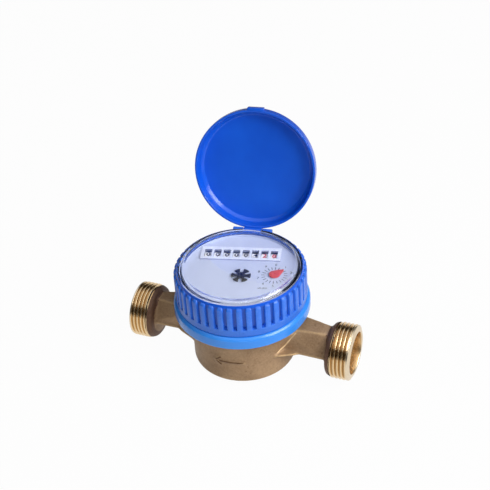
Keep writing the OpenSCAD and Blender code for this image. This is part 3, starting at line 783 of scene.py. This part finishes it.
def notched(bm):
    # opens the ring between the lugs, where the lid's knuckle swings
    h = hinge
    wide, deep, edge = 2 * h["half"], 5, 0.05
    low = (h["y"] - h["knuckle"] - h["gap"], h["z"] - h["gap"])
    middle = lidTurn @ at(0, low[0] + deep / 2, low[1] + deep / 2)
    cutters = [softBox((wide, deep, deep), middle, edge, 1),
               softPin(h["knuckle"] + h["gap"], wide, lidTurn @ alongX(-h["half"], h["y"], h["z"]), edge)]
    for cutter in cutters:
        tool = carrierFor(joinParts("notch", [cutter]))
        carrier = carrierFor(joinParts("ring", [bm]))
        cut = carrier.modifiers.new("cut", "BOOLEAN")
        cut.operation = "DIFFERENCE"
        cut.solver = "EXACT"
        cut.object = tool
        bm = evaluatedMesh(carrier)
        toolMesh = tool.data
        bpy.data.objects.remove(tool)
        bpy.data.meshes.remove(toolMesh)
    return bm


def makeHingeLugs():
    parts = []
    h = hinge
    edge = 0.25
    block = (h["lug"], h["back"] - h["front"], h["top"] - h["foot"])
    for side in (-1, 1):
        middle = side * (h["half"] + h["lug"] / 2)
        parts.append(softPin(h["knuckle"], h["lug"], lidTurn @ alongX(middle - h["lug"] / 2, h["y"], h["z"]), edge))
        place = lidTurn @ at(middle, (h["back"] + h["front"]) / 2, (h["top"] + h["foot"]) / 2)
        parts.append(softBox(block, place, edge))
    return parts


ribStep = 360 / ribRing["count"]
ribs = repeatRound(makeRib(), ribRing["count"], ribRing["turn"] + 90 + ribStep / 2, ribStep, ribLitBlue)
for face in ribs.polygons:
    face.material_index = ringIndex["rib"]
ringMesh = joinParts("ribbedRing", [dressDrum(notched(makeRibDrum())), ribs] + makeHingeLugs())
addPiece("ribbedRing", ringMesh, ringFinishes.values(), "register", ("ribbed_ring",), sharp=38)
print("rings made")

# open lid, modelled shut and swung about the hinge
lidShape = {"outer": 28.7, "inner": 27.65, "depth": 5.6, "top": 1.4, "lift": 1.5, "edge": 0.35, "open": 107.5,
            "tab": (7.8, 1.8, 3.2), "tabProud": 0.9, "knuckleLength": 8.6}


def lidPlace():
    swing = Matrix.Rotation(math.radians(-lidShape["open"]), 4, "X")
    return lidTurn @ at(0, hinge["y"], hinge["z"]) @ swing @ at(0, -hinge["y"], 0)


def makeLid():
    s = lidShape
    outer, inner, floor = s["outer"], s["inner"], s["depth"]
    high = floor + s["top"]
    # over the top, down the rim and back along the inside; spare rings keep both flats even
    profile = [(0, high), (outer * 0.5, high), (outer - 3.2, high), (outer - 2, high), (outer - 0.6, high - 0.6),
               (outer, high - 2), (outer, 0), (inner, 0), (inner - 0.8, floor - 1.6), (inner - 2.2, floor),
               (inner - 3.4, floor), (inner * 0.5, floor), (0, floor)]
    place = lidPlace()
    raised = place @ at(0, 0, s["lift"])
    parts = [lathe(softCorners(profile, s["edge"], steps=4, closed=False), raised, steps=160, closed=False)]
    tabPlace = raised @ at(0, -outer - s["tabProud"] + s["tab"][1] / 2, s["tab"][2] / 2)
    parts.append(softBox(s["tab"], tabPlace, s["edge"], 3))
    knucklePlace = place @ alongX(-s["knuckleLength"] / 2, hinge["y"], 0)
    parts.append(softPin(hinge["knuckle"], s["knuckleLength"], knucklePlace, 0.25))
    web = (s["knuckleLength"], hinge["knuckle"], s["lift"] + 1.6)
    parts.append(softBox(web, place @ at(0, hinge["y"] - web[1] / 2, web[2] / 2), 0.2))
    return joinParts("openLid", parts)


addPiece("openLid", makeLid(), [lidBlue], "cover", ("lid",), sharp=45)
print("lid made")

# clear lens with a sloping edge
lensShape = {"radius": 27.7, "low": 49.4, "thick": 4.3, "wall": 1.6, "slope": 2.1, "edge": 0.3}


def makeLens():
    s = lensShape
    outer, low, high = s["radius"], s["low"], s["low"] + s["thick"]
    under, inside, top = high - s["wall"], outer - s["wall"], outer - s["slope"]
    profile = [(0, under), (inside - 0.6, under), (inside, under - 0.5), (inside, low), (outer, low),
               (outer, high - 1.9), (top, high - 0.1), (top - 0.5, high), (0, high)]
    return lathe(softCorners(profile, s["edge"], steps=4, closed=False), steps=192, closed=False)


addPiece("clearLens", joinParts("clearLens", [makeLens()]), [finishes["clear_lens"]],
         "register", ("lens",), sharp=50)

# dial plate, its print, star and pointer
dialPrint = {"faceZ": 48.0, "center": (16.0, -2.3), "ticks": 20, "tickIn": 4.3, "tickOut": 6.0, "tickWide": 0.3,
             "numberRadius": 7.7, "numberSize": 2.1, "ink": 0.03, "markSize": 1.7, "mark": (-4.4, -9.6)}
counterFrame = {"edge": 10.1, "reach": 0.16, "longer": 0.6, "sheet": 48.2, "foot": 0.15, "side": 0.6}
dialFinishes = {"plate": finishes["register_white"], "frame": frameLitWhite, "side": frameShadeGrey}
dialIndex = {name: i for i, name in enumerate(dialFinishes)}


def makeDialPlate():
    # windows reach a little further towards the reader; the frame's top is painted lighter as painted light and its
    # sides greyer as painted shade
    c = counterFrame
    mesh = softenedCopy("dial_plate", 0.1)
    mesh.transform(dialTurn.inverted())
    for v in mesh.vertices:
        if abs(v.co.y / mm - c["edge"]) < c["reach"] and v.co.z > c["sheet"] * mm:
            v.co.y -= c["longer"] * mm
    mesh.transform(dialTurn)
    for face in mesh.polygons:
        if face.center.z > (dialPrint["faceZ"] + c["foot"]) * mm:
            face.material_index = dialIndex["frame" if face.normal.z > c["side"] else "side"]
    return mesh


dialPiece = addPiece("dialPlate", makeDialPlate(), dialFinishes.values(),
                     "register", ("dial_plate",), sharp=40)
for face in dialPiece.data.polygons:
    # level faces stay level right up to their soft edges
    face.use_smooth = face.normal.z < 0.999
addPiece("starWheel", softenedCopy("star_wheel", 0.12), [finishes["star_black"]],
         "star", ("star_wheel",), sharp=50)
addPiece("redPointer", softenedCopy("pointer", 0.12), [finishes["pointer_red"]],
         "hand", ("pointer",), sharp=50)


def textMesh(words, size, thick, bold=0, wide=1):
    curve = bpy.data.curves.new("words", "FONT")
    curve.body = words
    curve.size = size * mm
    curve.align_x = "CENTER"
    curve.align_y = "CENTER"
    curve.extrude = thick * mm / 2
    curve.resolution_u = 3
    curve.offset = bold * mm
    mesh = evaluatedMesh(carrierFor(curve))
    mesh.transform(Matrix.Diagonal((wide, 1, 1, 1)))
    return mesh


def placedText(words, size, x, y):
    mesh = textMesh(words, size, dialPrint["ink"])
    mesh.transform(dialTurn @ at(x, y, dialPrint["faceZ"] + dialPrint["ink"] / 2))
    return mesh


def makeDialPrint():
    d = dialPrint
    cx, cy = d["center"]
    size = (d["tickOut"] - d["tickIn"], d["tickWide"], d["ink"])
    tick = softBox(size, at((d["tickOut"] + d["tickIn"]) / 2, 0, 0), d["ink"] * 0.2, 1)
    ticks = repeatRound(tick, d["ticks"], 90, 360 / d["ticks"], inkBlack)
    ticks.transform(dialTurn @ at(cx, cy, d["faceZ"] + d["ink"] / 2))
    parts = [ticks]
    for number in range(10):
        angle = math.radians(90 - 36 * number)
        x, y = cx + d["numberRadius"] * math.cos(angle), cy + d["numberRadius"] * math.sin(angle)
        parts.append(placedText(str(number), d["numberSize"], x, y))
    parts.append(placedText("x0.001", d["markSize"], cx + d["mark"][0], cy + d["mark"][1]))
    return joinParts("dialPrint", parts)


addPiece("dialPrint", makeDialPrint(), [inkBlack], "register")

# numerals on the eight digit wheels
digitWheels = {"firstX": -16.6, "pitch": 4.43, "y": 12.6, "z": 44.05, "radius": 3.7, "size": 3.0, "ink": 0.04,
               "reading": (0, 0, 0, 0, 0, 4, 2, 8), "redFrom": 7, "slices": 0.22, "tilt": -4, "bold": 0.07, "wide": 1.4}


def wrapNumeral(mesh, turn):
    # cut into strips and bent round the wheel
    d = digitWheels
    bm = bmesh.new()
    bm.from_mesh(mesh)
    bpy.data.meshes.remove(mesh)
    tall = max(abs(v.co.y) for v in bm.verts) / mm
    cuts = int(tall / d["slices"])
    for i in range(-cuts, cuts + 1):
        bmesh.ops.bisect_plane(bm, geom=bm.verts[:] + bm.edges[:] + bm.faces[:],
                               plane_co=(0, i * d["slices"] * mm, 0), plane_no=(0, 1, 0))
    for v in bm.verts:
        angle = turn + v.co.y / (d["radius"] * mm)
        reach = d["radius"] * mm + v.co.z
        v.co = (v.co.x, reach * math.sin(angle), reach * math.cos(angle))
    return bm


def makeNumerals(wheel):
    d = digitWheels
    parts = []
    for number in range(10):
        turn = math.radians(36 * (number - d["reading"][wheel - 1]))
        flat = textMesh(str(number), d["size"], d["ink"], d["bold"], d["wide"])
        parts.append(wrapNumeral(flat, math.radians(d["tilt"]) - turn))
    mesh = joinParts("numerals", parts)
    mesh.transform(dialTurn @ at(d["firstX"] + (wheel - 1) * d["pitch"], d["y"], d["z"]))
    return mesh


for wheel in range(1, 9):
    red = wheel >= digitWheels["redFrom"]
    ink = inkRed if red else inkBlack
    addPiece("numerals%d" % wheel, makeNumerals(wheel), [ink], "digit_%d" % wheel)
print("dial made")


# stage: pale sweep, soft lamps and the camera
stageLight = {"half": 3.0, "sink": 0.05, "floor": 0.62, "lift": 0.97, "sheet": (0.3, 0.6), "glow": 0.95,
              "world": 0.5, "mirrored": 1.5, "left": 0.25, "right": 1.65,
              "bands": ((0.0, 0.12), (0.08, 0.08), (0.2, 0.04), (0.6, 0.04), (0.71, 0.8), (1.0, 0.95))}


def makeStage():
    # white to the camera and in reflections, plain paper to the light
    mesh = bpy.data.meshes.new("floor")
    half, low = stageLight["half"], -stageLight["sink"] * mm
    corners = ((-half, -half), (half, -half), (half, half), (-half, half))
    mesh.from_pydata([(x, y, low) for x, y in corners], [], [(0, 1, 2, 3)])
    floor = bpy.data.objects.new("floor", mesh)
    scene.collection.objects.link(floor)
    sheet, tree, shader = newFinish("paperSweep", Roughness=0.9)
    shader.inputs["Base Color"].default_value = (stageLight["floor"],) * 3 + (1,)
    rays = addNode(tree, "ShaderNodeLightPath")
    glow = addNode(tree, "ShaderNodeEmission", {"Strength": 1.0})
    pick = addNode(tree, "ShaderNodeMixShader")
    place = addNode(tree, "ShaderNodeTexCoord")
    reach = addNode(tree, "ShaderNodeVectorMath", operation="LENGTH")
    wire(tree, place.outputs["Object"], reach.inputs[0])
    near = spread(tree, reach.outputs["Value"], *stageLight["sheet"], 1, 0)
    bounced = mathNode(tree, "MAXIMUM", rays.outputs["Is Glossy Ray"], rays.outputs["Is Transmission Ray"])
    mirrored = mathNode(tree, "MULTIPLY", bounced, mathNode(tree, "MULTIPLY", near, stageLight["glow"]))
    seen = mathNode(tree, "MAXIMUM", rays.outputs["Is Camera Ray"], mirrored)
    wire(tree, mathNode(tree, "MULTIPLY", seen, stageLight["lift"]), pick.inputs[0])
    wire(tree, shader.outputs[0], pick.inputs[1])
    wire(tree, glow.outputs[0], pick.inputs[2])
    wire(tree, pick.outputs[0], tree.nodes["Material Output"].inputs["Surface"])
    mesh.materials.append(sheet)


softboxes = {
    "keySoftbox": {"place": (0.7, -0.1, 0.6), "target": (0, 0, 0.05), "size": (0.6, 0.42), "watts": 7.0, "mirrored": True},
    "frontSoftbox": {"place": (0.34, -0.74, 0.42), "target": (0, 0, 0.03), "size": (0.4, 0.3), "watts": 2.2,
                     "mirrored": False},
}


def addLamp(name, place, target, size, watts, mirrored):
    lamp = bpy.data.lights.new(name, "AREA")
    lamp.shape = "RECTANGLE"
    lamp.size, lamp.size_y = size
    lamp.energy = watts
    holder = bpy.data.objects.new(name, lamp)
    holder.location = place
    holder.rotation_euler = (Vector(target) - Vector(place)).to_track_quat("-Z", "Y").to_euler()
    holder.visible_glossy = mirrored
    scene.collection.objects.link(holder)


def makeWorld():
    # bright overhead, dim low down, as in a small photo tent
    world = bpy.data.worlds.new("room")
    scene.world = world
    world.use_nodes = True
    tree = world.node_tree
    place = addNode(tree, "ShaderNodeTexCoord")
    split = addNode(tree, "ShaderNodeSeparateXYZ")
    wire(tree, place.outputs["Generated"], split.inputs[0])
    band = addNode(tree, "ShaderNodeValToRGB")
    stops = stageLight["bands"]
    while len(band.color_ramp.elements) < len(stops):
        band.color_ramp.elements.new(0.5)
    for stop, (height, level) in zip(band.color_ramp.elements, stops):
        stop.position = height
        stop.color = (level, level, level, 1)
    wire(tree, split.outputs["Z"], band.inputs[0])
    wire(tree, band.outputs[0], tree.nodes["Background"].inputs["Color"])
    slant = spread(tree, split.outputs["X"], -1, 1, stageLight["left"], stageLight["right"])
    rays = addNode(tree, "ShaderNodeLightPath")
    mirror = mathNode(tree, "SUBTRACT", rays.outputs["Is Glossy Ray"], rays.outputs["Is Transmission Ray"])
    level = spread(tree, mirror, 0, 1, stageLight["world"], stageLight["mirrored"])
    room = tree.nodes["Background"]
    wire(tree, mathNode(tree, "MULTIPLY", slant, level), room.inputs["Strength"])
    paper = addNode(tree, "ShaderNodeBackground", {"Color": (1, 1, 1, 1), "Strength": 1.0})
    pick = addNode(tree, "ShaderNodeMixShader")
    wire(tree, rays.outputs["Is Camera Ray"], pick.inputs[0])
    wire(tree, room.outputs[0], pick.inputs[1])
    wire(tree, paper.outputs[0], pick.inputs[2])
    wire(tree, pick.outputs[0], tree.nodes["World Output"].inputs["Surface"])


cameraFit = {"azimuth": 23.3, "elevation": 36.73, "roll": -3.8, "distance": 500.0, "side": 2.99, "height": 63.47,
             "focal": 1117.03, "frame": 490, "sensor": 36}   # focal and frame in pixels


def makeCamera():
    c = cameraFit
    a, e, roll = (math.radians(c[k]) for k in ("azimuth", "elevation", "roll"))
    back = Vector((math.sin(a) * math.cos(e), -math.cos(a) * math.cos(e), math.sin(e)))
    level = Vector((math.cos(a), math.sin(a), 0))
    rise = back.cross(level)
    right = level * math.cos(roll) + rise * math.sin(roll)
    up = rise * math.cos(roll) - level * math.sin(roll)
    target = Vector((c["side"] * math.cos(a), c["side"] * math.sin(a), c["height"]))
    place = (target + back * c["distance"]) * mm
    data = bpy.data.cameras.new("camera")
    data.sensor_fit = "HORIZONTAL"
    data.sensor_width = c["sensor"]
    data.lens = c["focal"] / c["frame"] * c["sensor"]
    data.clip_start = 0.01
    camera = bpy.data.objects.new("camera", data)
    turn = Matrix((right, up, back)).transposed().to_4x4()
    camera.matrix_world = Matrix.Translation(place) @ turn
    scene.collection.objects.link(camera)
    scene.camera = camera


makeStage()
makeWorld()
for name, lamp in softboxes.items():
    addLamp(name, **lamp)
makeCamera()
print("stage made")
